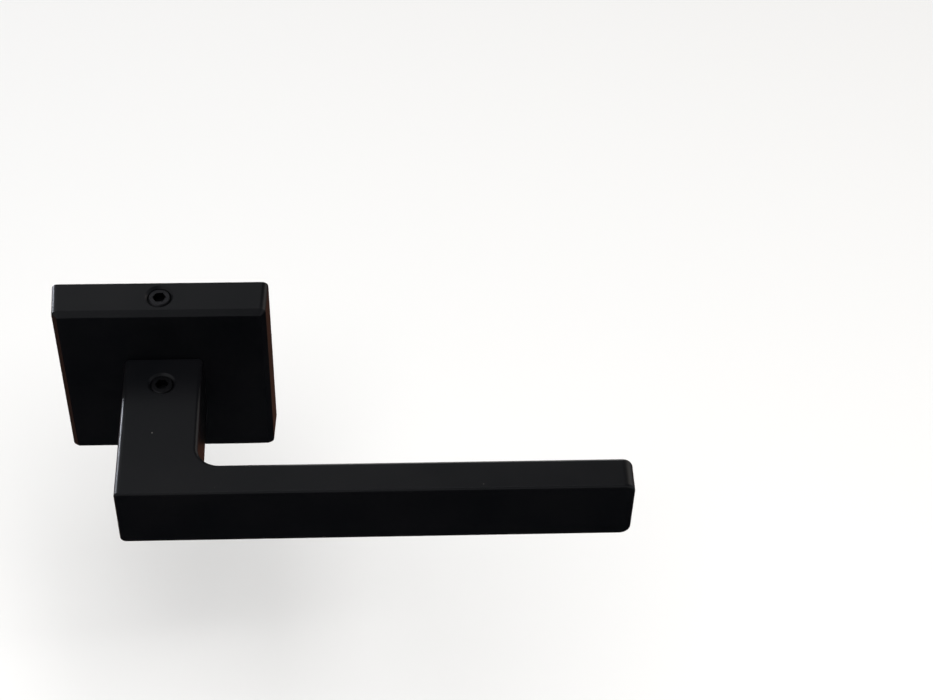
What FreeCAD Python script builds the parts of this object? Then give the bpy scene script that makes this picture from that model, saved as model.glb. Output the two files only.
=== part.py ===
import FreeCAD, Part

import math
import os

import Sketcher
from FreeCAD import Placement, Rotation, Vector

# A door lever handle on a square sprung rose, in millimetres.
# The origin is where the spindle's axis meets the door's face. +X runs along the lever,
# +Y goes into the door and +Z goes up. "Depth" below is the distance in front of the door's
# face, so a depth of 10 is at y = -10.

doc = FreeCAD.newDocument("LeverHandle")
sheet = doc.addObject("Spreadsheet::Sheet", "Size")

SIZES = [
    # the rose: a hollow square shell
    ("rose_side", 55.0, "width and height of the square rose"),
    ("rose_depth", 10.0, "how far the rose stands off the door"),
    ("rose_draft", 3.4, "degrees that the sides lean in towards the front"),
    ("rose_bevel", 1.3, "bevel round the front face"),
    ("rose_soft", 0.2, "rounding of the bevel's two edges"),
    ("rose_corner", 1.6, "rounding of the four corner edges"),
    ("rose_wall", 2.4, "side walls"),
    ("rose_front", 1.6, "front wall"),
    # the lever: a square neck and a flat grip
    ("neck_width", 20.0, "neck across X"),
    ("bar_height", 19.8, "neck and lever along Z"),
    ("neck_start", 10.35, "depth of the neck's rear end"),
    ("reach", 54.0, "depth of the lever's front face"),
    ("lever_thick", 9.0, "lever from front to rear"),
    ("lever_tip", 118.5, "lever's end, from the spindle's axis"),
    ("elbow_radius", 5.5, "inner corner between neck and lever"),
    ("tip_radius", 2.8, "corners of the lever's end"),
    ("neck_edge", 1.6, "rounding of the neck's outer edges"),
    ("inner_edge", 1.1, "rounding of the neck's and lever's inner edges"),
    ("neck_rim", 0.3, "rounding round the neck's rear end"),
    ("front_edge", 0.7, "rounding round the lever's front face"),
    # the drive: a sleeve pressed in the neck, with a socket for the spindle
    ("sleeve_radius", 8.0, "sleeve and its journal"),
    ("sleeve_start", 0.3, "depth of the sleeve's rear end"),
    ("sleeve_end", 32.0, "depth of the sleeve's front end"),
    ("sleeve_chamfer", 0.6, "chamfer on the sleeve's front end"),
    ("tail_square", 13.0, "square tail that drives the follower"),
    ("tail_end", 8.3, "depth where the tail meets the round journal"),
    ("spindle_square", 8.1, "socket for an 8 mm square spindle"),
    ("clip_groove_radius", 7.4, "groove for the circlip"),
    # M6 grub screws
    ("grub_radius", 3.0, "M6 screw and its tapped hole"),
    ("grub_sink", 0.3, "how far the screw sits below the surface"),
    ("grub_mouth", 0.6, "countersink round the hole"),
    ("grub_rim", 0.4, "bevel round the screw's top"),
    ("grub_point", 0.6, "radius of the flat on the screw's point"),
    ("grub_taper", 1.8, "height of the screw's point"),
    ("grub_key", 3.0, "hexagon socket across its flats"),
    ("grub_key_depth", 2.2, "hexagon socket's depth"),
    ("neck_grub_depth", 18.6, "neck screw's axis"),
    ("rose_grub_depth", 4.35, "rose screw's axis"),
    ("point_gap", 0.05, "between the lever screw's point and the spindle's socket"),
    ("point_sink", 0.7, "how far the rose screw's point sits in its dimple"),
    ("dimple_radius", 1.7, "dimple in the top tab"),
    ("dimple_depth", 0.8, "dimple in the top tab"),
    ("rose_grub_boss", 4.2, "wall thickness at the rose screw"),
    ("boss_half", 6.0, "half width of the thick part of the wall"),
    # layers inside the rose, from the door outwards
    ("gasket_thick", 0.6, "pad on the door"),
    ("gasket_side", 45.0, "pad's side"),
    ("mount_thick", 2.0, "mounting plate"),
    ("mount_side", 49.4, "mounting plate's side"),
    ("mount_hole", 13.0, "radius of the plate's middle hole"),
    ("tab_half", 7.0, "half width of the plate's two tabs"),
    ("tab_depth", 7.2, "depth that the tabs reach"),
    ("top_tab", 22.9, "top tab's outer face"),
    ("hook_half", 5.0, "half width of the bottom tab's hook"),
    ("hook_out", 1.2, "how far the hook stands out"),
    ("hook_start", 3.4, "rear side of the hook"),
    ("hook_end", 4.4, "front side of the hook"),
    ("cover_start", 3.0, "retaining plate's rear face"),
    ("cover_end", 4.0, "retaining plate's front face"),
    ("cover_side", 45.0, "retaining plate's side"),
    # fixing holes for M4 screws through the door
    ("fixing_half", 19.0, "half of the 38 mm between the fixing holes"),
    ("fixing_radius", 2.2, "fixing hole"),
    ("fixing_head", 3.6, "countersink for the fixing screw's head"),
    ("head_room", 4.4, "holes in the retaining plate over the heads"),
    # screws that hold the retaining plate
    ("corner", 19.5, "their distance from the axis along X and Z"),
    ("corner_boss", 3.2, "radius of the bosses they go in"),
    ("small_screw", 1.25, "M2.5 shank"),
    ("small_head", 2.3, "M2.5 countersunk head"),
    ("small_end", 7.8, "depth that the screws reach"),
    ("cross_length", 2.6, "cross recess"),
    ("cross_width", 0.6, "width of each slot of the cross"),
    ("cross_depth", 0.6, "depth of the cross"),
    # spring chamber
    ("track", 14.0, "radius that the springs lie on"),
    ("chamber_wall", 16.6, "inside radius of the chamber's wall"),
    ("chamber_outside", 18.2, "outside radius of the chamber's wall"),
    ("coil", 1.6, "radius of a spring's coil"),
    ("wire", 0.4, "radius of the spring wire"),
    ("spring_depth", 6.2, "depth of the springs' axis"),
    ("post_radius", 2.0, "dowel at the springs' fixed ends"),
    ("post_start", 4.1, "rear end of the dowel"),
    ("post_end", 9.4, "front end of the dowel, in the cover"),
    # follower and its stops
    ("hub", 9.95, "follower's hub, which turns in the rear bush"),
    ("hub_start", 3.1, "rear end of the hub"),
    ("hub_end", 8.2, "front end of the hub"),
    ("arm_half", 2.4, "half width of the arm and of the stop tongue"),
    ("arm_out", 16.2, "radius that the arm reaches"),
    ("arm_start", 4.7, "rear side of the arm"),
    ("tongue_in", 12.6, "inside radius of the stop tongue"),
    ("tongue_out", 15.4, "outside radius of the stop tongue"),
    ("slot_in", 12.4, "inside radius of the stop slot"),
    ("slot_out", 15.6, "outside radius of the stop slot"),
    ("swing", 50.0, "degrees that the lever turns each way"),
    ("slot_extra", 16.4, "degrees from the tongue's middle to the slot's end"),
    ("buffer_gap", 0.05, "gap between the tongue and a buffer at the stop"),
    ("buffer_thick", 1.1, "thickness of a stop buffer"),
    ("buffer_play", 0.1, "gap between a buffer and the sides of the slot"),
    ("seat_radius", 2.0, "spring seat"),
    ("seat_thick", 1.0, "spring seat's thickness"),
    # bushes, washers and circlip
    ("bush_bore", 8.05, "front bush, round the journal"),
    ("bush_outside", 9.0, "front bush in the cover's hole"),
    ("bush_rear", 8.6, "rear end of the front bush"),
    ("bush_lip", 9.0, "lip between the rose and the neck"),
    ("lip_thick", 0.25, "thickness of that lip"),
    ("rear_bore", 10.0, "rear bush, round the follower's hub"),
    ("rear_outside", 11.0, "rear bush in the retaining plate's hole"),
    ("rear_flange", 11.7, "rear bush's flange"),
    ("rear_flange_end", 4.5, "front face of that flange"),
    ("washer_bore", 8.2, "both washers"),
    ("washer_outside", 12.0, "both washers"),
    ("friction_start", 2.45, "rear face of the friction washer"),
    ("friction_end", 2.95, "front face of the friction washer"),
    ("thrust_start", 1.85, "rear face of the thrust washer"),
    ("thrust_end", 2.4, "front face of the thrust washer"),
    ("clip_start", 0.8, "rear face of the circlip"),
    ("clip_end", 1.8, "front face of the circlip"),
    ("clip_outside", 9.6, "circlip"),
    ("clip_play", 0.05, "gap between the circlip and each side of its groove"),
    ("clip_gap", 2.0, "gap between the circlip's ears"),
    ("ear_radius", 2.1, "circlip's ears"),
    ("ear_place", 9.3, "how far the ears are below the axis"),
    ("ear_across", 2.6, "how far each ear is to the side of the axis"),
    ("ear_hole", 0.8, "holes for the pliers"),
    # clearances and overlaps used all over
    ("film", 0.02, "gap between surfaces that all but touch"),
    ("snug", 0.03, "gap of a close fit"),
    ("slack", 0.3, "gap of a loose fit"),
    ("overlap", 0.5, "how far a joined shape runs into its neighbour"),
    ("past", 1.0, "how far a cutting shape runs beyond what it cuts"),
]
for row, (alias, value, note) in enumerate(SIZES, start=1):
    sheet.set("A%d" % row, str(value))
    sheet.setAlias("A%d" % row, alias)
    sheet.set("B%d" % row, note)
doc.recompute()

FORWARD = Rotation(Vector(1, 0, 0), 90)  # turns a shape's own height to point away from the door
EDGE_MARGIN = 1.0  # millimetres, room for telling one group of edges from another
TINY = 1e-3  # millimetres, for comparing lengths
SPRING_TURNS = 14
STEPS_PER_TURN = 12  # points on the wire's path for each turn
SPRING_START = 106.8  # degrees from +X to the spring's end at the arm
SPRING_STOP = 259.6  # degrees from +X to the spring's end at the dowel


# --- Helpers for Part shapes, all placed by X, Z and depth ---

def place(thing, x="0", z="0", depth="0"):
    """Stand a shape on the plane at a depth, with its height pointing away from the door."""
    thing.Placement = Placement(Vector(), FORWARD)
    thing.setExpression("Placement.Base.x", x)
    thing.setExpression("Placement.Base.y", "-(%s)" % depth)
    thing.setExpression("Placement.Base.z", z)
    return thing


def cylinder(name, radius, start, end, x="0", z="0"):
    """A round bar along the spindle's axis between two depths."""
    thing = doc.addObject("Part::Cylinder", name)
    thing.setExpression("Radius", radius)
    thing.setExpression("Height", "(%s) - (%s)" % (end, start))
    return place(thing, x, z, start)


def cone(name, start_radius, end_radius, start, end, x="0", z="0"):
    """A cone along the spindle's axis between two depths."""
    thing = doc.addObject("Part::Cone", name)
    thing.setExpression("Radius1", start_radius)
    thing.setExpression("Radius2", end_radius)
    thing.setExpression("Height", "(%s) - (%s)" % (end, start))
    return place(thing, x, z, start)


def block(name, left, right, bottom, top, start, end):
    """A box given by its sides along X and Z and by its two depths."""
    thing = doc.addObject("Part::Box", name)
    thing.setExpression("Length", "(%s) - (%s)" % (right, left))
    thing.setExpression("Width", "(%s) - (%s)" % (top, bottom))
    thing.setExpression("Height", "(%s) - (%s)" % (end, start))
    return place(thing, left, bottom, start)


def upright(name, radius, low, high, depth, kind="Part::Cylinder", top_radius=None):
    """A round bar or cone along Z, on the middle line, between two heights."""
    thing = doc.addObject(kind, name)
    if kind == "Part::Cone":
        thing.setExpression("Radius1", radius)
        thing.setExpression("Radius2", top_radius)
    else:
        thing.setExpression("Radius", radius)
    thing.setExpression("Height", "(%s) - (%s)" % (high, low))
    thing.setExpression("Placement.Base.y", "-(%s)" % depth)
    thing.setExpression("Placement.Base.z", low)
    return thing


def cut(name, base, tool):
    """One shape less another."""
    thing = doc.addObject("Part::Cut", name)
    thing.Base = base
    thing.Tool = tool
    return thing


def fuse(name, pieces):
    """Several shapes joined in one."""
    thing = doc.addObject("Part::MultiFuse", name)
    thing.Shapes = pieces
    return thing


def common(name, one, other):
    """What two shapes share."""
    thing = doc.addObject("Part::Common", name)
    thing.Base = one
    thing.Tool = other
    return thing


def group(name, pieces):
    """Separate solids of one sub-part."""
    thing = doc.addObject("Part::Compound", name)
    thing.Links = pieces
    return thing


def ring(name, outside, bore, start, end):
    """A flat ring round the spindle's axis."""
    body = cylinder(name + "_blank", outside, start, end)
    hole = cylinder(name + "_bore", bore, start + " - Size.past", end + " + Size.past")
    return cut(name, body, hole)


def hexagon(name, low, high, depth):
    """The hexagon socket of a grub screw, between two heights."""
    thing = doc.addObject("Part::Prism", name)
    thing.Polygon = 6
    thing.setExpression("Circumradius", "Size.grub_key / 2 / cos(30)")
    thing.setExpression("Height", "(%s) - (%s)" % (high, low))
    thing.setExpression("Placement.Base.y", "-(%s)" % depth)
    thing.setExpression("Placement.Base.z", low)
    return thing


# --- Helpers for PartDesign bodies ---

def add_body(name):
    """A new body, with its label."""
    body = doc.addObject("PartDesign::Body", name)
    body.Label = name
    return body


def add_sketch(body, name, role, offset=None):
    """A sketch on one of the body's own planes, moved along that plane's normal."""
    sketch = body.newObject("Sketcher::SketchObject", name)
    plane = [item for item in body.Origin.OriginFeatures if item.Role == role][0]
    sketch.AttachmentSupport = [(plane, "")]
    sketch.MapMode = "FlatFace"
    if offset:
        sketch.setExpression("AttachmentOffset.Base.z", offset)
    return sketch


def pin_point(sketch, line, end, across, up):
    """Hold one end of a line at a distance from the sketch's origin."""
    for kind, expression, axis in (("DistanceX", across, -2), ("DistanceY", up, -1)):
        if expression == "0":
            sketch.addConstraint(Sketcher.Constraint("PointOnObject", line, end, axis))
            continue
        value = float(sheet.evalExpression(expression))
        index = sketch.addConstraint(Sketcher.Constraint(kind, -1, 1, line, end, value))
        sketch.setExpression("Constraints[%d]" % index, expression)


def add_outline(sketch, corners):
    """A closed outline of straight lines through corners given as sheet expressions."""
    points = []
    for across, up in corners:
        points.append(Vector(float(sheet.evalExpression(across)), float(sheet.evalExpression(up)), 0))
    first = sketch.GeometryCount
    count = len(points)
    for i in range(count):
        sketch.addGeometry(Part.LineSegment(points[i], points[(i + 1) % count]), False)
    for i in range(count):
        following = first + (i + 1) % count
        sketch.addConstraint(Sketcher.Constraint("Coincident", first + i, 2, following, 1))
    for i, (across, up) in enumerate(corners):
        pin_point(sketch, first + i, 1, across, up)


def add_rectangle(sketch, left, right, bottom, top):
    """A rectangle between two X values and two heights."""
    add_outline(sketch, [(left, bottom), (right, bottom), (right, top), (left, top)])


def add_circle(sketch, radius, across=None, up=None):
    """A circle, on the sketch's origin unless it is given a place."""
    value = float(sheet.evalExpression(radius))
    centre = Vector(0, 0, 0)
    if across:
        centre = Vector(float(sheet.evalExpression(across)), float(sheet.evalExpression(up)), 0)
    circle = sketch.addGeometry(Part.Circle(centre, Vector(0, 0, 1), value), False)
    index = sketch.addConstraint(Sketcher.Constraint("Radius", circle, value))
    sketch.setExpression("Constraints[%d]" % index, radius)
    if across:
        pin_point(sketch, circle, 3, across, up)
    else:
        sketch.addConstraint(Sketcher.Constraint("Coincident", circle, 3, -1, 1))


def add_pad(body, sketch, length, backward=False):
    """Add material from a sketch along its normal, or the other way."""
    pad = body.newObject("PartDesign::Pad", sketch.Name + "_pad")
    pad.Profile = sketch
    pad.setExpression("Length", length)
    pad.Reversed = backward
    sketch.Visibility = False
    doc.recompute()
    return pad


def add_pocket(body, sketch, length, forward=False):
    """Remove material from a sketch against its normal, or along it."""
    before = body.Shape.Volume
    pocket = body.newObject("PartDesign::Pocket", sketch.Name + "_pocket")
    pocket.Profile = sketch
    pocket.setExpression("Length", length)
    pocket.Reversed = forward
    sketch.Visibility = False
    doc.recompute()
    if body.Shape.Volume >= before - TINY:
        raise RuntimeError(sketch.Name + " removes nothing")
    return pocket


def edges_where(feature, test):
    """Names of a feature's edges whose every vertex and middle point pass a test."""
    names = []
    for number, edge in enumerate(feature.Shape.Edges, start=1):
        middle = edge.valueAt((edge.FirstParameter + edge.LastParameter) / 2)
        points = [vertex.Point for vertex in edge.Vertexes] + [middle]
        if all(test(point) for point in points):
            names.append("Edge%d" % number)
    return names


def add_fillet(body, name, radius, test):
    """Round the edges of the body's last feature that pass a test."""
    last = body.Tip
    fillet = body.newObject("PartDesign::Fillet", name)
    fillet.Base = (last, edges_where(last, test))
    fillet.setExpression("Radius", radius)
    doc.recompute()
    return fillet


def add_chamfer(body, name, size, test):
    """Bevel the edges of the body's last feature that pass a test."""
    last = body.Tip
    chamfer = body.newObject("PartDesign::Chamfer", name)
    chamfer.Base = (last, edges_where(last, test))
    chamfer.setExpression("Size", size)
    doc.recompute()
    return chamfer


def value_of(alias):
    """A size from the sheet as a plain number."""
    return float(sheet.get(alias))


def near(one, other):
    """True when two lengths are the same for choosing an edge."""
    return abs(one - other) < TINY


# --- Lever: one bar bent in an L, with a round bore up its neck ---

def make_lever():
    """The neck and grip as one thick profile seen from above, rounded and bored."""
    body = add_body("lever_handle")
    half_neck = "Size.neck_width / 2"
    inner_face = "-(Size.reach - Size.lever_thick)"
    profile = add_sketch(body, "lever_profile", "XY_Plane", "-Size.bar_height / 2")
    add_outline(profile, [
        ("-" + half_neck, "-Size.neck_start"),
        ("-" + half_neck, "-Size.reach"),
        ("Size.lever_tip", "-Size.reach"),
        ("Size.lever_tip", inner_face),
        (half_neck, inner_face),
        (half_neck, "-Size.neck_start"),
    ])
    add_pad(body, profile, "Size.bar_height")
    top = value_of("bar_height") / 2
    side = value_of("neck_width") / 2
    tip = value_of("lever_tip")
    front = -value_of("reach")
    inner = front + value_of("lever_thick")
    start = -value_of("neck_start")
    screw = -value_of("neck_grub_depth")
    add_fillet(body, "tip_corners", "Size.tip_radius",
               lambda p: near(p.x, tip) and near(abs(p.z), top))
    add_fillet(body, "outer_neck_edges", "Size.neck_edge",
               lambda p: near(p.x, -side) and near(abs(p.z), top))
    add_fillet(body, "elbow", "Size.elbow_radius",
               lambda p: near(p.x, side) and near(p.y, inner))
    add_fillet(body, "front_edges", "Size.front_edge",
               lambda p: near(p.y, front))
    add_fillet(body, "inner_edges", "Size.inner_edge",
               lambda p: near(p.z, top) and p.x > side - TINY and p.y > front + EDGE_MARGIN)
    add_fillet(body, "neck_rear_rim", "Size.neck_rim", lambda p: near(p.y, start))
    bore = add_sketch(body, "neck_bore", "XZ_Plane", "Size.neck_start")
    add_circle(bore, "Size.sleeve_radius")
    add_pocket(body, bore, "Size.sleeve_end - Size.neck_start + Size.slack", forward=True)
    tapped = add_sketch(body, "neck_screw_hole", "XY_Plane", "Size.bar_height / 2")
    add_circle(tapped, "Size.grub_radius", "0", "-Size.neck_grub_depth")
    add_pocket(body, tapped, "Size.bar_height / 2 - Size.past")
    hole_reach = value_of("grub_radius") + TINY
    add_chamfer(body, "neck_screw_mouth", "Size.grub_mouth",
                lambda p: near(p.z, top) and math.hypot(p.x, p.y - screw) < hole_reach)
    return body


# --- Rose: the square shell, its bosses and its spring chamber ---

def make_rose_cover():
    """A hollow square plate: bevelled in front, open to the door, with the chamber's wall cast in."""
    body = add_body("rose_cover")
    half = "Size.rose_side / 2"
    inside = "(Size.rose_side / 2 - Size.rose_wall)"
    outline = add_sketch(body, "rose_outline", "XZ_Plane")
    add_rectangle(outline, "-" + half, half, "-" + half, half)
    shell = add_pad(body, outline, "Size.rose_depth")
    shell.setExpression("TaperAngle", "-Size.rose_draft")
    doc.recompute()
    edge = value_of("rose_side") / 2
    front = -value_of("rose_depth")
    bevel = value_of("rose_bevel")
    add_fillet(body, "rose_corners", "Size.rose_corner",
               lambda p: abs(p.x) > edge - EDGE_MARGIN and abs(p.z) > edge - EDGE_MARGIN)
    add_chamfer(body, "rose_bevel", "Size.rose_bevel", lambda p: near(p.y, front))
    add_fillet(body, "bevel_edges", "Size.rose_soft",
               lambda p: near(p.y, front) or near(p.y, front + bevel))
    hollow = add_sketch(body, "rose_hollow", "XZ_Plane")
    add_rectangle(hollow, "-" + inside, inside, "-" + inside, inside)
    add_pocket(body, hollow, "Size.rose_depth - Size.rose_front", forward=True)
    wall = add_sketch(body, "chamber_wall_ring", "XZ_Plane", "Size.rose_depth - Size.rose_front")
    add_circle(wall, "Size.chamber_outside")
    add_circle(wall, "Size.chamber_wall")
    add_pad(body, wall, "Size.rose_depth - Size.rose_front - Size.cover_end", backward=True)
    for name, x, z in (("a", "", ""), ("b", "-", ""), ("c", "", "-"), ("d", "-", "-")):
        boss = add_sketch(body, "corner_boss_" + name, "XZ_Plane", "Size.rose_depth - Size.rose_front")
        add_circle(boss, "Size.corner_boss", x + "Size.corner", z + "Size.corner")
        add_pad(body, boss, "Size.rose_depth - Size.rose_front - Size.cover_end", backward=True)
        pilot = add_sketch(body, "corner_pilot_" + name, "XZ_Plane", "Size.cover_end")
        add_circle(pilot, "Size.small_screw", x + "Size.corner", z + "Size.corner")
        add_pocket(body, pilot, "Size.small_end - Size.cover_end + Size.slack", forward=True)
    thick = add_sketch(body, "screw_boss", "XZ_Plane")
    add_rectangle(thick, "-Size.boss_half", "Size.boss_half",
                  "Size.rose_side / 2 - Size.rose_grub_boss", inside + " + Size.overlap")
    add_pad(body, thick, "Size.rose_depth - Size.rose_front / 2")
    middle = add_sketch(body, "journal_hole", "XZ_Plane", "Size.rose_depth")
    add_circle(middle, "Size.bush_outside")
    add_pocket(body, middle, "Size.rose_front + Size.past")
    dowel = add_sketch(body, "dowel_hole", "XZ_Plane", "Size.rose_depth - Size.rose_front")
    add_circle(dowel, "Size.post_radius", "0", "-Size.track")
    add_pocket(body, dowel, "Size.post_end - Size.rose_depth + Size.rose_front", forward=True)
    recess = add_sketch(body, "hook_recess", "XZ_Plane", "Size.hook_start - Size.slack")
    add_rectangle(recess, "-(Size.hook_half + Size.slack)", "Size.hook_half + Size.slack",
                  "-(Size.mount_side / 2 + Size.hook_out + Size.slack)",
                  "-%s + Size.overlap" % inside)
    add_pocket(body, recess, "Size.hook_end - Size.hook_start + 2 * Size.slack", forward=True)
    tapped = add_sketch(body, "rose_screw_hole", "XY_Plane", half)
    add_circle(tapped, "Size.grub_radius", "0", "-Size.rose_grub_depth")
    add_pocket(body, tapped, "Size.rose_grub_boss + Size.overlap")
    screw = -value_of("rose_grub_depth")
    hole_reach = value_of("grub_radius") + TINY
    add_chamfer(body, "rose_screw_mouth", "Size.grub_mouth",
                lambda p: p.z > edge - EDGE_MARGIN and math.hypot(p.x, p.y - screw) < hole_reach)
    return body


# --- Mounting plate: screwed on the door, with a tab for the screw and a hook for the rose ---

def make_mounting_plate():
    """A pressed steel plate with two turned-up tabs."""
    body = add_body("mounting_plate")
    half = "Size.mount_side / 2"
    plate = add_sketch(body, "plate_outline", "XZ_Plane", "Size.gasket_thick")
    add_outline(plate, [
        ("-" + half, "-" + half), (half, "-" + half), (half, half),
        ("Size.boss_half + 2 * Size.slack", half), ("Size.boss_half + 2 * Size.slack", "Size.top_tab"),
        ("-(Size.boss_half + 2 * Size.slack)", "Size.top_tab"), ("-(Size.boss_half + 2 * Size.slack)", half),
        ("-" + half, half),
    ])
    add_circle(plate, "Size.mount_hole")
    add_pad(body, plate, "Size.mount_thick")
    edge = value_of("mount_side") / 2
    add_fillet(body, "plate_corners", "Size.rose_corner",
               lambda p: near(abs(p.x), edge) and near(abs(p.z), edge))
    top = add_sketch(body, "top_tab_outline", "XZ_Plane", "Size.gasket_thick")
    add_rectangle(top, "-Size.boss_half", "Size.boss_half",
                  "Size.top_tab - Size.mount_thick", "Size.top_tab")
    add_pad(body, top, "Size.tab_depth - Size.gasket_thick")
    bottom = add_sketch(body, "bottom_tab_outline", "XZ_Plane", "Size.gasket_thick")
    add_rectangle(bottom, "-Size.tab_half", "Size.tab_half", "-" + half,
                  "-%s + Size.mount_thick" % half)
    add_pad(body, bottom, "Size.tab_depth - Size.gasket_thick")
    hook = add_sketch(body, "hook_outline", "XZ_Plane", "Size.hook_start")
    add_rectangle(hook, "-Size.hook_half", "Size.hook_half", "-%s - Size.hook_out" % half,
                  "-%s + Size.overlap" % half)
    add_pad(body, hook, "Size.hook_end - Size.hook_start")
    dimple = add_sketch(body, "screw_dimple", "XY_Plane", "Size.top_tab")
    add_circle(dimple, "Size.dimple_radius", "0", "-Size.rose_grub_depth")
    add_pocket(body, dimple, "Size.dimple_depth")
    for name, x in (("left", "-"), ("right", "")):
        hole = add_sketch(body, "fixing_hole_" + name, "XZ_Plane", "Size.gasket_thick")
        add_circle(hole, "Size.fixing_radius", x + "Size.fixing_half", "0")
        add_pocket(body, hole, "Size.mount_thick + Size.past", forward=True)
    outer = -value_of("gasket_thick") - value_of("mount_thick")
    fixing = value_of("fixing_half")
    hole_reach = value_of("fixing_radius") + TINY
    add_chamfer(body, "fixing_countersinks", "Size.fixing_head - Size.fixing_radius",
                lambda p: near(p.y, outer) and math.hypot(abs(p.x) - fixing, p.z) < hole_reach)
    return body


def make_door_gasket():
    """A thin square pad with the plate's holes."""
    half = "Size.gasket_side / 2"
    pad = block("gasket_blank", "-" + half, half, "-" + half, half, "0",
                "Size.gasket_thick - Size.film")
    front = "Size.gasket_thick + Size.past"
    holes = [cylinder("gasket_middle", "Size.mount_hole", "-Size.past", front)]
    for name, x in (("left", "-"), ("right", "")):
        holes.append(cylinder("gasket_fixing_" + name, "Size.fixing_radius", "-Size.past", front,
                              x + "Size.fixing_half"))
    return cut("door_gasket", pad, fuse("gasket_holes", holes))


# --- Retaining plate, its screws and the stop buffers ---

def make_retaining_plate():
    """A plate with the rear bush's hole, the stop slot and room for tabs and screw heads."""
    half = "Size.cover_side / 2"
    rear = "Size.cover_start - Size.past"
    front = "Size.cover_end + Size.past"
    plate = block("cover_blank", "-" + half, half, "-" + half, half, "Size.cover_start", "Size.cover_end")
    holes = [
        cylinder("cover_middle", "Size.rear_outside", rear, front),
        block("top_notch", "-(Size.tab_half + Size.slack)", "Size.tab_half + Size.slack",
              "Size.top_tab - Size.mount_thick - Size.slack", "Size.cover_side", rear, front),
        block("bottom_notch", "-(Size.tab_half + Size.slack)", "Size.tab_half + Size.slack",
              "-Size.cover_side", "-(Size.mount_side / 2 - Size.mount_thick - Size.slack)", rear, front),
    ]
    for name, x in (("left", "-"), ("right", "")):
        holes.append(cylinder("head_room_" + name, "Size.head_room", rear, front, x + "Size.fixing_half"))
    for name, x, z in (("a", "", ""), ("b", "-", ""), ("c", "", "-"), ("d", "-", "-")):
        holes.append(cone("countersink_" + name, "Size.small_head + Size.snug", "Size.small_screw + Size.snug",
                          "Size.cover_start", "Size.cover_end", x + "Size.corner", z + "Size.corner"))
    slot_outside = cylinder("slot_outside", "Size.slot_out", rear, front)
    slot_inside = cylinder("slot_inside", "Size.slot_in", rear, front)
    for arc in (slot_outside, slot_inside):
        arc.setExpression("Angle", "2 * (Size.swing + Size.slot_extra)")
        arc.Placement = Placement(arc.Placement.Base, FORWARD.multiply(
            Rotation(Vector(0, 0, 1), 90 - value_of("swing") - value_of("slot_extra"))))
    holes.append(cut("stop_slot", slot_outside, slot_inside))
    return cut("retaining_plate", plate, fuse("cover_holes", holes))


def make_retaining_screws():
    """Four countersunk screws with cross recesses."""
    screws = []
    for name, x, z in (("a", "", ""), ("b", "-", ""), ("c", "", "-"), ("d", "-", "-")):
        across = x + "Size.corner"
        up = z + "Size.corner"
        head = cone("screw_head_" + name, "Size.small_head", "Size.small_screw",
                    "Size.cover_start", "Size.cover_end", across, up)
        shank = cylinder("screw_shank_" + name, "Size.small_screw",
                         "Size.cover_end", "Size.small_end", across, up)
        cross = []
        for way, wide, tall in (("level", "cross_length", "cross_width"),
                                ("plumb", "cross_width", "cross_length")):
            cross.append(block("cross_%s_%s" % (way, name),
                               "%s - Size.%s / 2" % (across, wide), "%s + Size.%s / 2" % (across, wide),
                               "%s - Size.%s / 2" % (up, tall), "%s + Size.%s / 2" % (up, tall),
                               "Size.cover_start - Size.past", "Size.cover_start + Size.cross_depth"))
        solid = fuse("screw_solid_" + name, [head, shank])
        screws.append(cut("screw_" + name, solid, fuse("cross_" + name, cross)))
    return group("retaining_screws", screws)


def turned(shape, degrees):
    """Turn a placed shape about the spindle's axis, clockwise seen from the front."""
    about = Rotation(Vector(0, 1, 0), degrees)
    shape.Placement = Placement(about.multVec(shape.Placement.Base), about.multiply(shape.Placement.Rotation))
    return shape


def make_stop_buffers():
    """Two small nylon pads that the stop tongue meets at the ends of its travel."""
    pads = []
    for name, side in (("left", -1), ("right", 1)):
        near_face = value_of("arm_half") + value_of("buffer_gap")
        far_face = near_face + value_of("buffer_thick")
        pad = doc.addObject("Part::Box", "buffer_" + name)
        pad.setExpression("Length", "Size.buffer_thick")
        pad.setExpression("Width", "Size.tongue_out - Size.tongue_in - 4 * Size.buffer_play")
        pad.setExpression("Height", "Size.cover_end - Size.cover_start - 2 * Size.buffer_play")
        left = near_face if side > 0 else -far_face
        play = value_of("buffer_play")
        corner = Vector(left, -value_of("cover_start") - play, value_of("tongue_in") + play)
        pad.Placement = Placement(corner, FORWARD)
        pads.append(turned(pad, side * value_of("swing")))
    return group("stop_buffers", pads)


# --- Drive: sleeve, follower and what the follower pushes on ---

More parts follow.
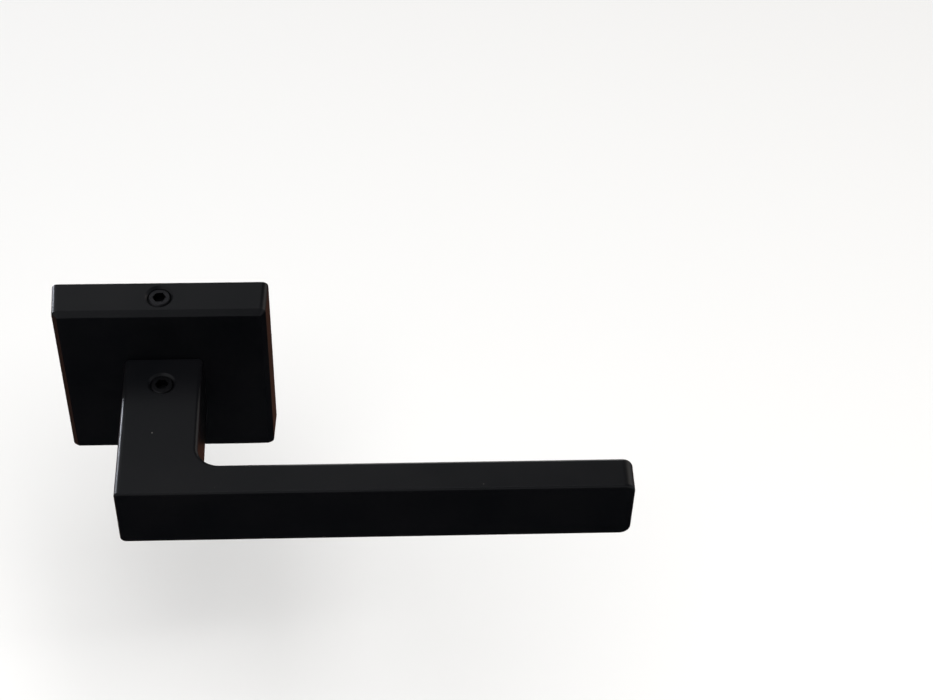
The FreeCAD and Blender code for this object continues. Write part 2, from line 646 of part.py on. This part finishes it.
def make_drive_sleeve():
    """A round sleeve with a square tail, a square socket, a screw hole and a circlip groove."""
    half_tail = "Size.tail_square / 2"
    half_socket = "Size.spindle_square / 2"
    round_bar = cylinder("sleeve_round", "Size.sleeve_radius", "Size.sleeve_start",
                         "Size.sleeve_end - Size.sleeve_chamfer")
    nose = cone("sleeve_nose", "Size.sleeve_radius", "Size.sleeve_radius - Size.sleeve_chamfer",
                "Size.sleeve_end - Size.sleeve_chamfer", "Size.sleeve_end")
    bar = fuse("sleeve_bar", [round_bar, nose])
    square = block("tail_square", "-" + half_tail, half_tail, "-" + half_tail, half_tail,
                   "Size.sleeve_start - Size.past", "Size.tail_end")
    journal = cylinder("sleeve_keep", "Size.sleeve_radius + Size.past", "Size.tail_end",
                       "Size.sleeve_end + Size.past")
    shaped = common("sleeve_shaped", bar, fuse("sleeve_limits", [square, journal]))
    socket = block("spindle_socket", "-" + half_socket, half_socket, "-" + half_socket, half_socket,
                   "Size.sleeve_start - Size.past", "Size.sleeve_end + Size.past")
    screw_hole = upright("sleeve_screw_hole", "Size.grub_radius", "0", "Size.sleeve_radius + Size.past",
                         "Size.neck_grub_depth")
    groove = cut("clip_groove", cylinder("groove_outside", "Size.sleeve_radius + Size.past",
                                         "Size.clip_start - Size.clip_play",
                                         "Size.clip_end + Size.clip_play"),
                 cylinder("groove_floor", "Size.clip_groove_radius", "0", "Size.cover_end"))
    return cut("drive_sleeve", shaped, fuse("sleeve_holes", [socket, screw_hole, groove]))


def make_follower():
    """A hub on the square tail, an arm that loads the springs and a tongue that meets the stops."""
    half_tail = "Size.tail_square / 2 + Size.snug"
    hub = cylinder("follower_hub", "Size.hub", "Size.hub_start", "Size.hub_end")
    arm = block("follower_arm", "-Size.arm_half", "Size.arm_half", "0", "Size.arm_out",
                "Size.arm_start", "Size.hub_end")
    tongue = block("follower_tongue", "-Size.arm_half", "Size.arm_half", "Size.tongue_in",
                   "Size.tongue_out", "Size.hub_start", "Size.arm_start + Size.overlap")
    solid = fuse("follower_solid", [hub, arm, tongue])
    square = block("follower_square", "-(%s)" % half_tail, half_tail, "-(%s)" % half_tail, half_tail,
                   "0", "Size.rose_depth")
    corners = cylinder("follower_round", "Size.sleeve_radius + Size.snug", "0", "Size.rose_depth")
    return cut("follower", solid, common("follower_hole", square, corners))


def make_spring_seats():
    """Two round shoes against the sides of the arm."""
    seats = []
    for name, left in (("left", "-(Size.arm_half + Size.snug + Size.seat_thick)"),
                       ("right", "Size.arm_half + Size.snug")):
        seat = doc.addObject("Part::Cylinder", "seat_" + name)
        seat.setExpression("Radius", "Size.seat_radius")
        seat.setExpression("Height", "Size.seat_thick")
        seat.Placement = Placement(Vector(), Rotation(Vector(0, 1, 0), 90))
        seat.setExpression("Placement.Base.x", left)
        seat.setExpression("Placement.Base.y", "-Size.spring_depth")
        seat.setExpression("Placement.Base.z", "Size.track")
        seats.append(seat)
    return group("spring_seats", seats)


def make_return_spring(name, side):
    """A round-wire coil whose own axis is an arc about the spindle."""
    track = value_of("track")
    coil = value_of("coil")
    depth = value_of("spring_depth")
    points = []
    steps = SPRING_TURNS * STEPS_PER_TURN
    for i in range(steps + 1):
        share = i / steps
        around = math.radians(SPRING_START + share * (SPRING_STOP - SPRING_START))
        turn = 2 * math.pi * SPRING_TURNS * share
        reach = track + coil * math.cos(turn)
        points.append(Vector(-side * reach * math.cos(around), coil * math.sin(turn) - depth,
                             reach * math.sin(around)))
    curve = Part.BSplineCurve()
    curve.interpolate(points)
    path = Part.Wire(curve.toShape())
    section = Part.Wire(Part.Circle(points[0], curve.tangent(curve.FirstParameter)[0],
                                    value_of("wire")).toShape())
    thing = doc.addObject("Part::Feature", name)
    thing.Shape = path.makePipeShell([section], True, True)
    return thing


# --- Bushes, washers, circlip and dowel ---

def make_front_bush():
    """An acetal bush with a thin lip between the rose and the neck."""
    tube = ring("bush_tube", "Size.bush_outside", "Size.bush_bore", "Size.bush_rear", "Size.rose_depth")
    lip = ring("bush_lip", "Size.bush_lip", "Size.bush_bore", "Size.rose_depth",
               "Size.rose_depth + Size.lip_thick")
    return fuse("front_bush", [tube, lip])


def make_rear_bush():
    """A nylon bush with a flange inside the spring chamber."""
    tube = ring("rear_tube", "Size.rear_outside", "Size.rear_bore", "Size.cover_start", "Size.cover_end")
    flange = ring("rear_flange", "Size.rear_flange", "Size.rear_bore", "Size.cover_end",
                  "Size.rear_flange_end")
    return fuse("rear_bush", [tube, flange])


def make_circlip():
    """A flat ring, open at the bottom, with two ears."""
    band = ring("clip_band", "Size.clip_outside", "Size.clip_groove_radius", "Size.clip_start",
                "Size.clip_end")
    ears = []
    eyes = [block("clip_gap_cut", "-Size.clip_gap / 2", "Size.clip_gap / 2", "-Size.washer_outside",
                  "0", "0", "Size.clip_end + Size.past")]
    for name, x in (("left", "-"), ("right", "")):
        across = x + "Size.ear_across"
        ears.append(cylinder("clip_ear_" + name, "Size.ear_radius", "Size.clip_start", "Size.clip_end",
                             across, "-Size.ear_place"))
        eyes.append(cylinder("clip_eye_" + name, "Size.ear_hole", "0", "Size.clip_end + Size.past",
                             across, "-Size.ear_place"))
    inside = cylinder("clip_inside", "Size.clip_groove_radius", "0", "Size.clip_end + Size.past")
    return cut("circlip", fuse("clip_solid", [band] + ears), fuse("clip_holes", eyes + [inside]))


# --- Grub screws: M6 with a hexagon socket and a cone at the point ---

def make_grub_screw(name, surface, point, depth):
    """A headless screw standing along Z, its top just below the surface it is in."""
    top = "%s - Size.grub_sink" % surface
    fit = "Size.grub_radius - Size.film"
    taper = "%s + Size.grub_taper" % point
    rim_start = "%s - Size.grub_rim" % top
    shank = upright(name + "_shank", fit, taper, rim_start, depth)
    rim = upright(name + "_rim", fit, rim_start, top, depth, "Part::Cone",
                  "Size.grub_radius - Size.grub_rim")
    tip = upright(name + "_tip", "Size.grub_point", point, taper, depth, "Part::Cone", fit)
    socket = hexagon(name + "_socket", "%s - Size.grub_key_depth" % top, "%s + Size.past" % top, depth)
    return cut(name, fuse(name + "_solid", [shank, rim, tip]), socket)


make_lever()
make_rose_cover()
make_mounting_plate()
make_door_gasket()
make_retaining_plate()
make_retaining_screws()
make_stop_buffers()
make_drive_sleeve()
make_follower()
make_spring_seats()
make_return_spring("return_spring_left", -1)
make_return_spring("return_spring_right", 1)
cylinder("spring_post", "Size.post_radius", "Size.post_start", "Size.post_end", "0", "-Size.track")
make_front_bush()
make_rear_bush()
ring("friction_washer", "Size.washer_outside", "Size.washer_bore", "Size.friction_start",
     "Size.friction_end")
ring("thrust_washer", "Size.washer_outside", "Size.washer_bore", "Size.thrust_start", "Size.thrust_end")
make_circlip()
make_grub_screw("lever_grub_screw", "Size.bar_height / 2", "(Size.spindle_square / 2 + Size.point_gap)",
                "Size.neck_grub_depth")
leaning_face = "(Size.rose_side / 2 - Size.rose_grub_depth * tan(Size.rose_draft))"
make_grub_screw("rose_grub_screw", leaning_face, "(Size.top_tab - Size.point_sink)", "Size.rose_grub_depth")

NODES = [
    "lever_handle", "drive_sleeve", "lever_grub_screw", "follower", "spring_seats", "thrust_washer",
    "circlip", "rose_cover", "rose_grub_screw", "mounting_plate", "door_gasket", "retaining_plate",
    "retaining_screws", "stop_buffers", "front_bush", "rear_bush", "friction_washer", "spring_post",
    "return_spring_left", "return_spring_right",
]

doc.recompute()
for item in doc.Objects:
    if "Invalid" in item.State or "Error" in item.State:
        raise RuntimeError(item.Name + " did not compute")
os.makedirs("parts", exist_ok=True)
for name in NODES:
    node = doc.getObject(name)
    node.Label = name
    if node.Shape.isNull() or not node.Shape.isValid():
        raise RuntimeError(name + " has no valid shape")
    node.Shape.exportStep("parts/%s.step" % name)
    print(name, len(node.Shape.Solids), round(node.Shape.Volume, 1))
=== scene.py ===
import math

import bpy
from mathutils import Matrix, Vector


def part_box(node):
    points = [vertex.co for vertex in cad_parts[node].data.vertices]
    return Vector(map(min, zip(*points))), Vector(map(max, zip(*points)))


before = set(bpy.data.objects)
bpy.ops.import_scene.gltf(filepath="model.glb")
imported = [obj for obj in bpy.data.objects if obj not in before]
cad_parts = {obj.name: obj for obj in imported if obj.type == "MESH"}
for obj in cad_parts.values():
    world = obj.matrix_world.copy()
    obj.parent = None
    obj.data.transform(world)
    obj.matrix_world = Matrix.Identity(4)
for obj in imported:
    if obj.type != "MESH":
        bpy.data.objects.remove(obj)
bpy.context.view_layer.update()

# --- Lever and rose: zinc alloy castings, powder coated satin black ---
# The lever is one L-shaped casting with a square neck. The rose is a shallow square shell
# that hides the spring mechanism. Both are blasted and coated in the same oven.

# A Math node's inputs all have one name and a Mix node's colour inputs share theirs with
# its other inputs, so these sockets are given by number.
FIRST = 0
SECOND = 1
THIRD = 2
MIX_FACTOR = 0
MIX_FROM = 6
MIX_TO = 7
MIX_COLOUR = 2


def linear_colour(hex_colour):
    """An sRGB hex colour as linear red, green and blue, with full alpha."""
    shares = [int(hex_colour[i:i + 2], 16) / 255 for i in (1, 3, 5)]
    return tuple(s / 12.92 if s <= 0.04045 else ((s + 0.055) / 1.055) ** 2.4 for s in shares) + (1.0,)


def add_node(material, kind, settings=None, links=None):
    """Add one node to a material, with its properties or input values and its incoming links."""
    node = material.node_tree.nodes.new(kind)
    for name, value in (settings or {}).items():
        if isinstance(name, str) and hasattr(node, name):
            setattr(node, name, value)
        else:
            node.inputs[name].default_value = value
    for name, source in (links or {}).items():
        material.node_tree.links.new(source, node.inputs[name])
    return node


def start_material(name):
    """An empty node material and its output node."""
    material = bpy.data.materials.new(name)
    material.use_nodes = True
    material.node_tree.nodes.clear()
    return material, add_node(material, "ShaderNodeOutputMaterial")


def noise_per_metre(feature_mm):
    """The noise scale that gives features of a size in millimetres on Object coordinates."""
    return 1000.0 / feature_mm


def metres(millimetres):
    """A length in millimetres as metres."""
    return millimetres / 1000.0


def satin_black_powder_coat():
    """Epoxy-polyester powder coat, satin: near-black resin, IOR 1.5, with faint orange peel.

    It gives soft, slightly broken reflections, a fine toothed grain close up and a little dust
    on the faces that look up. The real grain is finer than a tenth of a millimetre and is drawn
    at 0.3 mm, so that it shows.
    """
    coat, output = start_material("satin_black_powder_coat")
    place = add_node(coat, "ShaderNodeTexCoord").outputs["Object"]

    # broad patches where the coat is a shade lighter and duller
    cloud = add_node(coat, "ShaderNodeTexNoise", {"Scale": noise_per_metre(17.0), "Detail": 3.0},
                     {"Vector": place})
    tone = add_node(coat, "ShaderNodeValToRGB", links={"Fac": cloud.outputs["Fac"]})
    tone.color_ramp.elements[0].position = 0.3
    tone.color_ramp.elements[0].color = linear_colour("#060709")
    tone.color_ramp.elements[1].position = 0.7
    tone.color_ramp.elements[1].color = linear_colour("#0a0a0c")
    gloss = add_node(coat, "ShaderNodeMapRange",
                     {"From Min": 0.3, "From Max": 0.7, "To Min": 0.29, "To Max": 0.35},
                     {"Value": cloud.outputs["Fac"]})

    # orange peel, with the grain on top of it
    peel = add_node(coat, "ShaderNodeTexNoise", {"Scale": noise_per_metre(1.3), "Detail": 2.0},
                    {"Vector": place})
    grain = add_node(coat, "ShaderNodeTexNoise", {"Scale": noise_per_metre(0.3), "Detail": 2.0},
                     {"Vector": place})
    waves = add_node(coat, "ShaderNodeBump", {"Strength": 0.5, "Distance": metres(0.03)},
                     {"Height": peel.outputs["Fac"]})
    tooth = add_node(coat, "ShaderNodeBump", {"Strength": 0.5, "Distance": metres(0.012)},
                     {"Height": grain.outputs["Fac"], "Normal": waves.outputs["Normal"]})

    # dust: a speck where the surface cuts the middle of a 5 mm cell and looks up
    cells = add_node(coat, "ShaderNodeTexVoronoi", {"Scale": noise_per_metre(5.0)}, {"Vector": place})
    near_middle = add_node(coat, "ShaderNodeMath", {"operation": "LESS_THAN", SECOND: 0.04},
                           {FIRST: cells.outputs["Distance"]})
    facing = add_node(coat, "ShaderNodeSeparateXYZ",
                      links={"Vector": add_node(coat, "ShaderNodeNewGeometry").outputs["Normal"]})
    upward = add_node(coat, "ShaderNodeMath", {"operation": "GREATER_THAN", SECOND: 0.8},
                      {FIRST: facing.outputs["Z"]})
    speck = add_node(coat, "ShaderNodeMath", {"operation": "MULTIPLY"},
                     {FIRST: near_middle.outputs["Value"], SECOND: upward.outputs["Value"]})
    colour = add_node(coat, "ShaderNodeMix", {"data_type": "RGBA", MIX_TO: linear_colour("#4a4947")},
                      {MIX_FACTOR: speck.outputs["Value"], MIX_FROM: tone.outputs["Color"]})

    shader = add_node(coat, "ShaderNodeBsdfPrincipled", {"IOR": 1.5},
                      {"Base Color": colour.outputs[MIX_COLOUR], "Roughness": gloss.outputs["Result"],
                       "Normal": tooth.outputs["Normal"]})
    coat.node_tree.links.new(shader.outputs["BSDF"], output.inputs["Surface"])
    return coat


def finish_node(node, material):
    """Give one CAD node its material."""
    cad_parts[node].data.materials.clear()
    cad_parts[node].data.materials.append(material)


black_coat = satin_black_powder_coat()
finish_node("lever_handle", black_coat)
finish_node("rose_cover", black_coat)


# --- Grub screws: M6 headless screws of black oxide steel ---
# They are hardened, blackened and lightly oiled. One sits in the neck and grips the spindle,
# and one sits in the rose's edge and holds it on its mounting plate.

def plain_metal(name, hex_colour, roughness, grain_mm, relief_mm, spread=0.06):
    """A metal with an uneven polish: one noise drives both roughness and a very shallow bump."""
    metal, output = start_material(name)
    place = add_node(metal, "ShaderNodeTexCoord").outputs["Object"]
    grain = add_node(metal, "ShaderNodeTexNoise", {"Scale": noise_per_metre(grain_mm), "Detail": 4.0},
                     {"Vector": place})
    polish = add_node(metal, "ShaderNodeMapRange",
                      {"From Min": 0.25, "From Max": 0.75,
                       "To Min": roughness - spread, "To Max": roughness + spread},
                      {"Value": grain.outputs["Fac"]})
    relief = add_node(metal, "ShaderNodeBump", {"Strength": 0.6, "Distance": metres(relief_mm)},
                      {"Height": grain.outputs["Fac"]})
    shader = add_node(metal, "ShaderNodeBsdfPrincipled",
                      {"Base Color": linear_colour(hex_colour), "Metallic": 1.0},
                      {"Roughness": polish.outputs["Result"], "Normal": relief.outputs["Normal"]})
    metal.node_tree.links.new(shader.outputs["BSDF"], output.inputs["Surface"])
    return metal


# Black oxide is a dark grey conversion coating that takes its sheen from the oil on it.
black_oxide = plain_metal("black_oxide_steel", "#47474a", roughness=0.4, grain_mm=0.6, relief_mm=0.006)
for node in ("lever_grub_screw", "rose_grub_screw"):
    finish_node(node, black_oxide)


# --- Sleeve, follower, dowel and thrust washer: machined steel ---
# The sleeve is turned, broached and pressed in the neck. The follower is a sintered cam on the
# sleeve's square tail, and the dowel is pressed in the rose.

# Bare steel is light grey, with faint tool marks that break up its reflections.
machined_steel = plain_metal("machined_steel", "#a9abad", roughness=0.3, grain_mm=0.35, relief_mm=0.004)
for node in ("drive_sleeve", "follower", "spring_post", "thrust_washer"):
    finish_node(node, machined_steel)


# --- Return springs and circlip: oil-tempered spring steel ---
# The springs are coiled from round wire and lie on an arc in the rose's chamber. The circlip is
# punched from strip and snaps in the sleeve's groove.

# Oil tempering leaves a thin, dark and slightly uneven scale.
spring_steel = plain_metal("oil_tempered_spring_steel", "#55565a", roughness=0.34, grain_mm=0.5,
                           relief_mm=0.005)
for node in ("return_spring_left", "return_spring_right", "circlip"):
    finish_node(node, spring_steel)


# --- Mounting plate, retaining plate and its screws: steel, bright zinc plated ---
# Both plates are pressed from sheet. The mounting plate is screwed on the door, and four small
# screws hold the retaining plate over the spring chamber.

# Zinc plate is a cool light grey, with patches of brighter and duller metal.
zinc_plate = plain_metal("bright_zinc_plate", "#b9bdc4", roughness=0.3, grain_mm=2.4, relief_mm=0.012,
                         spread=0.09)
for node in ("mounting_plate", "retaining_plate", "retaining_screws"):
    finish_node(node, zinc_plate)


# --- Front bush: black acetal ---
# It is turned from rod and sits in the rose's front hole. The sleeve turns in it, and its thin
# lip keeps the neck from rubbing on the rose.

def turned_acetal():
    """Black acetal, turned from rod: IOR 1.48, smooth and slightly waxy, with faint marks."""
    acetal, output = start_material("black_acetal")
    place = add_node(acetal, "ShaderNodeTexCoord").outputs["Object"]
    marks = add_node(acetal, "ShaderNodeTexNoise", {"Scale": noise_per_metre(0.4), "Detail": 2.0},
                     {"Vector": place})
    relief = add_node(acetal, "ShaderNodeBump", {"Strength": 0.4, "Distance": metres(0.01)},
                      {"Height": marks.outputs["Fac"]})
    shader = add_node(acetal, "ShaderNodeBsdfPrincipled",
                      {"Base Color": linear_colour("#0d0d0e"), "IOR": 1.48, "Roughness": 0.38},
                      {"Normal": relief.outputs["Normal"]})
    acetal.node_tree.links.new(shader.outputs["BSDF"], output.inputs["Surface"])
    return acetal


finish_node("front_bush", turned_acetal())


# --- Rear bush, friction washer, spring seats and stop buffers: natural nylon ---
# They are small mouldings that run or press against steel. They are pushed or laid in place,
# without glue or screws.

def moulded_nylon():
    """Natural polyamide 6, moulded: warm white, IOR 1.53, a fine spark-eroded texture."""
    nylon, output = start_material("natural_nylon")
    place = add_node(nylon, "ShaderNodeTexCoord").outputs["Object"]
    texture = add_node(nylon, "ShaderNodeTexNoise", {"Scale": noise_per_metre(0.25), "Detail": 2.0},
                       {"Vector": place})
    relief = add_node(nylon, "ShaderNodeBump", {"Strength": 0.5, "Distance": metres(0.01)},
                      {"Height": texture.outputs["Fac"]})
    shader = add_node(nylon, "ShaderNodeBsdfPrincipled",
                      {"Base Color": linear_colour("#ddd8c8"), "IOR": 1.53, "Roughness": 0.42},
                      {"Normal": relief.outputs["Normal"]})
    nylon.node_tree.links.new(shader.outputs["BSDF"], output.inputs["Surface"])
    return nylon


natural_nylon = moulded_nylon()
for node in ("rear_bush", "friction_washer", "spring_seats", "stop_buffers"):
    finish_node(node, natural_nylon)


# --- Gasket: thin black closed-cell foam ---
# It is die cut from sheet and lies between the mounting plate and the door, so that the plate
# doesn't mark the door.

def closed_cell_foam():
    """Black polyethylene foam: cells about 0.5 mm across, cut open on the surface."""
    foam, output = start_material("closed_cell_foam")
    place = add_node(foam, "ShaderNodeTexCoord").outputs["Object"]
    cells = add_node(foam, "ShaderNodeTexVoronoi", {"Scale": noise_per_metre(0.5)}, {"Vector": place})
    # painted shade: each open cell is darker at its bottom and lighter on its raised walls, following the
    # same distance that drives the bump
    tone = add_node(foam, "ShaderNodeValToRGB", links={"Fac": cells.outputs["Distance"]})
    tone.color_ramp.elements[0].color = linear_colour("#0e0e0f")
    tone.color_ramp.elements[1].color = linear_colour("#2a2a2b")
    relief = add_node(foam, "ShaderNodeBump", {"Strength": 0.8, "Distance": metres(0.1)},
                      {"Height": cells.outputs["Distance"]})
    shader = add_node(foam, "ShaderNodeBsdfPrincipled", {"Roughness": 0.85},
                      {"Base Color": tone.outputs["Color"], "Normal": relief.outputs["Normal"]})
    foam.node_tree.links.new(shader.outputs["BSDF"], output.inputs["Surface"])
    return foam


finish_node("door_gasket", closed_cell_foam())


# --- Studio floor: matt off-white paint ---
# It isn't part of the object. It lies just lower than the lever would reach if it hung straight
# down, and it neither shows in reflections nor casts a shadow.

FLOOR_HALF_SIZE = 3.0
FLOOR_GAP = 0.002


def pale_floor(height):
    """A flat square at a height."""
    mesh = bpy.data.meshes.new("floor")
    half = FLOOR_HALF_SIZE
    corners = [(-half, -half, height), (half, -half, height), (half, half, height), (-half, half, height)]
    mesh.from_pydata(corners, [], [(0, 1, 2, 3)])
    floor = bpy.data.objects.new("floor", mesh)
    bpy.context.scene.collection.objects.link(floor)
    paint, output = start_material("matt_white_floor")
    shader = add_node(paint, "ShaderNodeBsdfPrincipled",
                      {"Base Color": linear_colour("#f0efed"), "Roughness": 0.9})
    paint.node_tree.links.new(shader.outputs["BSDF"], output.inputs["Surface"])
    mesh.materials.append(paint)
    floor.visible_glossy = False
    floor.visible_shadow = False


lever_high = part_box("lever_handle")[1]
lever_reach = math.hypot(lever_high[0], lever_high[2])
pale_floor(height=-lever_reach - FLOOR_GAP)


# --- Studio light: a grey room, a large soft lamp overhead, two windows and a rear card ---
# The room and the windows are mostly seen as reflections in the satin coat. The lamp overhead
# lights the floor, and the card mostly shows in reflections on the back.

def room_light():
    """A world that is grey at the horizon and brightest overhead towards the left.

    Steeply below the horizon is what upright faces mirror when they are seen from above: a warm
    table behind and to the left, and a dark room in front and to the right.
    """
    world = bpy.data.worlds.new("room")
    world.use_nodes = True
    bpy.context.scene.world = world
    world.node_tree.nodes.clear()
    output = add_node(world, "ShaderNodeOutputWorld")
    way = add_node(world, "ShaderNodeTexCoord").outputs["Generated"]
    axes = add_node(world, "ShaderNodeSeparateXYZ", links={"Vector": way})

    # below: dark in front and to the right, warm behind and to the left
    lean = add_node(world, "ShaderNodeMath", {"operation": "MULTIPLY_ADD", SECOND: -0.6},
                    {FIRST: axes.outputs["X"], THIRD: axes.outputs["Y"]})
    warm = add_node(world, "ShaderNodeMapRange", {"From Min": 0.0, "From Max": 0.3},
                    {"Value": lean.outputs["Value"]})
    below = add_node(world, "ShaderNodeMix",
                     {"data_type": "RGBA", MIX_FROM: linear_colour("#101219"),
                      MIX_TO: linear_colour("#573a2e")},
                     {MIX_FACTOR: warm.outputs["Result"]})

    # overhead: bright straight up and up to the left, dim to the right and lower down
    rise = add_node(world, "ShaderNodeMath", {"operation": "SUBTRACT"},
                    {FIRST: axes.outputs["X"], SECOND: axes.outputs["Z"]})
    side = add_node(world, "ShaderNodeMapRange", {"From Min": -0.92, "From Max": -0.63},
                    {"Value": rise.outputs["Value"]})
    above = add_node(world, "ShaderNodeMix",
                     {"data_type": "RGBA", MIX_FROM: linear_colour("#98999b"),
                      MIX_TO: linear_colour("#3a3938")},
                     {MIX_FACTOR: side.outputs["Result"]})

    # from the grey horizon up to that, and from it down to the table
    high = add_node(world, "ShaderNodeMapRange", {"From Min": 0.35, "From Max": 0.6},
                    {"Value": axes.outputs["Z"]})
    upper = add_node(world, "ShaderNodeMix",
                     {"data_type": "RGBA", MIX_FROM: linear_colour("#87888a")},
                     {MIX_FACTOR: high.outputs["Result"], MIX_TO: above.outputs[MIX_COLOUR]})
    level = add_node(world, "ShaderNodeMapRange", {"From Min": -0.62, "From Max": -0.15},
                     {"Value": axes.outputs["Z"]})
    sky = add_node(world, "ShaderNodeMix", {"data_type": "RGBA"},
                   {MIX_FACTOR: level.outputs["Result"], MIX_FROM: below.outputs[MIX_COLOUR],
                    MIX_TO: upper.outputs[MIX_COLOUR]})
    glow = add_node(world, "ShaderNodeBackground", {"Strength": 1.0},
                    {"Color": sky.outputs[MIX_COLOUR]})
    world.node_tree.links.new(glow.outputs["Background"], output.inputs["Surface"])


def softbox(name, place, target, size, watts, hex_colour, mirrored=True, lights_matt=True):
    """A square area light that faces a point.

    One that isn't mirrored lights matt surfaces only, and one that doesn't light matt surfaces
    shows only in reflections, like a white card.
    """
    light = bpy.data.lights.new(name, "AREA")
    light.shape = "SQUARE"
    light.size = size
    light.energy = watts
    light.color = linear_colour(hex_colour)[:3]
    lamp = bpy.data.objects.new(name, light)
    lamp.location = place
    lamp.rotation_euler = (Vector(target) - Vector(place)).to_track_quat("-Z", "Y").to_euler()
    lamp.visible_glossy = mirrored
    lamp.visible_diffuse = lights_matt
    bpy.context.scene.collection.objects.link(lamp)


room_light()
softbox("overhead", place=(0.1, -0.45, 1.3), target=(0.03, -0.02, 0.0), size=1.0, watts=26.0,
        hex_colour="#ffffff", mirrored=False)
softbox("window", place=(-0.66, 0.64, -0.05), target=(0.0, -0.03, 0.0), size=0.24, watts=3.2,
        hex_colour="#eef3ff")
softbox("far_window", place=(0.66, 0.58, 0.22), target=(0.0, -0.03, 0.0), size=0.5, watts=0.3,
        hex_colour="#fff4e6")
softbox("rear_card", place=(0.0, 1.1, 0.16), target=(0.0, 0.0, 0.0), size=0.8, watts=3.0,
        hex_colour="#ffffff", lights_matt=False)


# --- Camera: in front of the door, well above the handle ---
# It looks steeply down and a little to the right, with a slight roll. The plain sRGB view keeps
# the satin black as dark as its reflections make it.

CAMERA_PLACE = Vector((0.05236, -0.36779, 0.41910))
LOOKS_DOWN_DEG = 48.652
LOOKS_RIGHT_DEG = 4.141
ROLL_DEG = 2.336
LENS_MM = 80.80
SENSOR_MM = 36.0
NEAR_LIMIT = 0.01

camera_data = bpy.data.cameras.new("camera")
camera_data.sensor_width = SENSOR_MM
camera_data.lens = LENS_MM
camera_data.clip_start = NEAR_LIMIT
camera = bpy.data.objects.new("camera", camera_data)
turn_right = Matrix.Rotation(-math.radians(LOOKS_RIGHT_DEG), 4, "Z")
tip_down = Matrix.Rotation(math.radians(90.0 - LOOKS_DOWN_DEG), 4, "X")
roll = Matrix.Rotation(math.radians(ROLL_DEG), 4, "Z")
camera.matrix_world = Matrix.Translation(CAMERA_PLACE) @ turn_right @ tip_down @ roll
bpy.context.scene.collection.objects.link(camera)
bpy.context.scene.camera = camera
bpy.context.scene.view_settings.view_transform = "Standard"
